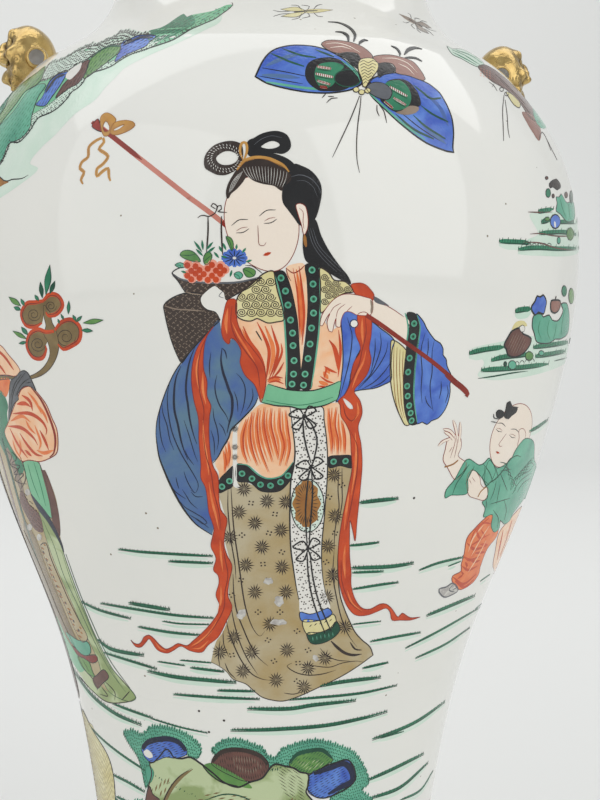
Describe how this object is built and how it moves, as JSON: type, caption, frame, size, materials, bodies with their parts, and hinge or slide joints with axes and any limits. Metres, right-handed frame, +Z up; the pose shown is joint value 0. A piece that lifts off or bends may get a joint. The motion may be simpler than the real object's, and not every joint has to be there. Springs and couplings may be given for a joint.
{
  "type": "porcelain jar",
  "caption": "Tall baluster porcelain jar with an open mouth, everted lip and gilt lion-mask sprigs on the shoulder, painted in overglaze enamels.",
  "frame": {"origin": "centre of the foot ring's underside, on the jar's axis", "axes": "+Z up along the jar's axis; +X towards the right lion mask; -Y towards the viewer"},
  "size_m": [0.329, 0.329, 0.62],
  "materials": {
    "porcelain": "glossy, slightly cool white glaze",
    "luting_slip": "matt fired slip",
    "gilding": "burnished gilding over glazed porcelain",
    "enamels": "glossy overglaze enamels in green, blue, iron red, yellow, aubergine and black"
  },
  "bodies": {
    "root": {"foot_section": "porcelain", "belly_section": "porcelain", "shoulder_section": "porcelain", "neck_section": "porcelain", "waist_luting": "luting_slip", "belly_luting": "luting_slip", "neck_luting": "luting_slip", "left_lion_mask": "gilding", "left_mask_slip": "luting_slip", "left_lion_ear_front": "gilding", "left_lion_ear_back": "gilding", "right_lion_mask": "gilding", "right_mask_slip": "luting_slip", "right_lion_ear_front": "gilding", "right_lion_ear_back": "gilding"}
  },
  "joints": []
}
